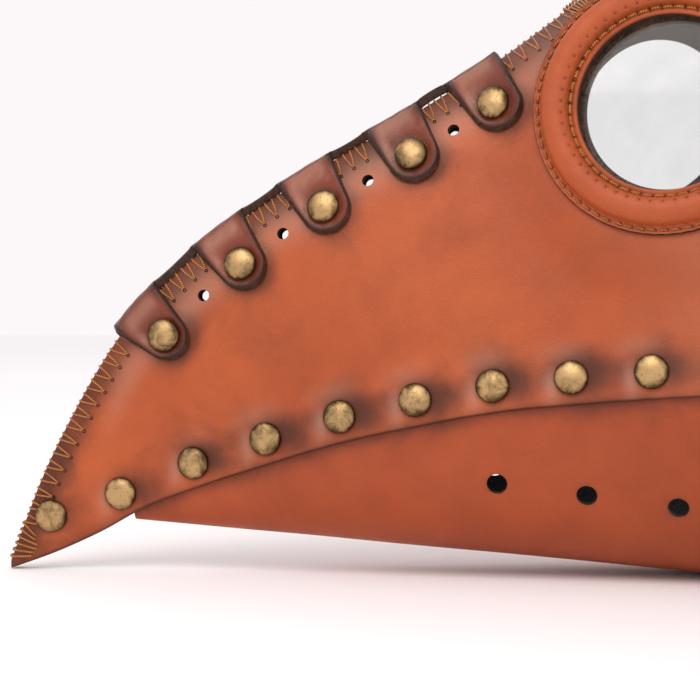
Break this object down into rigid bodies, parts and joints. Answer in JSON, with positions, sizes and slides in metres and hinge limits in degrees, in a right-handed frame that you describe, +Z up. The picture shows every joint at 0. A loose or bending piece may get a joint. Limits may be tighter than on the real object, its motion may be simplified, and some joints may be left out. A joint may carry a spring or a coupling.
{
  "type": "plague doctor mask",
  "caption": "Leather beak mask with goggle eyes, a riveted ridge strap, a vented underside and two buckled head straps that swing on temple rivets.",
  "frame": {"origin": "middle of the bounding box, on the surface that the mask stands on with its beak's tip and underside", "axes": "+Z up; the beak points along -Y, and +Y is its length; the wearer's left is +X, the narrowest extent"},
  "size_m": [0.1528, 0.4282, 0.242],
  "materials": {
    "tan_leather": "satin vegetable-tanned leather with darker burnished edges",
    "ridge_leather": "satin leather, burnished darker than the panels",
    "strap_leather": "satin brown leather with stitched edges",
    "lining_leather": "matt dark lining",
    "foam": "dark felt-faced foam",
    "black_rubber": "matt",
    "clear_lens": "clear plastic sheet",
    "antique_brass": "antique brass, satin"
  },
  "bodies": {
    "mask": {"beak_underside": "tan_leather", "forehead_pad": "foam", "forehead_panel": "tan_leather", "left_eye_ring_cover": "tan_leather", "left_eye_ring_padding": "foam", "left_forehead_rivets": "antique_brass", "left_lens": "clear_lens", "left_lens_gasket": "black_rubber", "left_lens_retainer": "lining_leather", "left_lower_rivets": "antique_brass", "left_ridge_rivets": "antique_brass", "left_side_panel": "tan_leather", "ridge_strap": "ridge_leather", "right_eye_ring_cover": "tan_leather", "right_eye_ring_padding": "foam", "right_forehead_rivets": "antique_brass", "right_lens": "clear_lens", "right_lens_gasket": "black_rubber", "right_lens_retainer": "lining_leather", "right_lower_rivets": "antique_brass", "right_ridge_rivets": "antique_brass", "right_side_panel": "tan_leather", "tip_rivets": "antique_brass", "upper_pivot_rivets": "antique_brass", "lower_pivot_rivets": "antique_brass"},
    "upper_strap": {"upper_buckle_strap": "strap_leather", "upper_holed_strap": "strap_leather", "upper_fixed_keeper": "strap_leather"},
    "upper_keeper": {"upper_sliding_keeper": "strap_leather"},
    "upper_buckle": {"upper_buckle_frame": "antique_brass"},
    "upper_prong": {"upper_buckle_prong": "antique_brass"},
    "lower_strap": {"lower_buckle_strap": "strap_leather", "lower_holed_strap": "strap_leather", "lower_fixed_keeper": "strap_leather"},
    "lower_keeper": {"lower_sliding_keeper": "strap_leather"},
    "lower_buckle": {"lower_buckle_frame": "antique_brass"},
    "lower_prong": {"lower_buckle_prong": "antique_brass"}
  },
  "joints": [
    {"name": "upper_strap_swing", "type": "hinge", "parent": "mask", "child": "upper_strap", "pos_m": [0, 0.0767, 0.181], "axis": [1, 0, 0], "range_deg": [-28, 70]},
    {"name": "upper_keeper_slide", "type": "slide", "parent": "upper_strap", "child": "upper_keeper", "axis": [1, 0, 0], "range_m": [-0.0042, 0.0028]},
    {"name": "upper_buckle_lift", "type": "hinge", "parent": "upper_strap", "child": "upper_buckle", "pos_m": [0.008, 0.18208, 0.22792], "axis": [0, 0.4067, -0.9135], "range_deg": [0, 15]},
    {"name": "upper_prong_lift", "type": "hinge", "parent": "upper_buckle", "child": "upper_prong", "pos_m": [0.008, 0.18208, 0.22792], "axis": [0, 0.4067, -0.9135], "range_deg": [0, 13]},
    {"name": "lower_strap_swing", "type": "hinge", "parent": "mask", "child": "lower_strap", "pos_m": [0, 0.0767, 0.08], "axis": [1, 0, 0], "range_deg": [-50, 14]},
    {"name": "lower_keeper_slide", "type": "slide", "parent": "lower_strap", "child": "lower_keeper", "axis": [1, 0, 0], "range_m": [-0.0042, 0.0028]},
    {"name": "lower_buckle_lift", "type": "hinge", "parent": "lower_strap", "child": "lower_buckle", "pos_m": [0.008, 0.20534, 0.09352], "axis": [0, 0.1045, -0.9945], "range_deg": [0, 15]},
    {"name": "lower_prong_lift", "type": "hinge", "parent": "lower_buckle", "child": "lower_prong", "pos_m": [0.008, 0.20534, 0.09352], "axis": [0, 0.1045, -0.9945], "range_deg": [0, 13]}
  ]
}
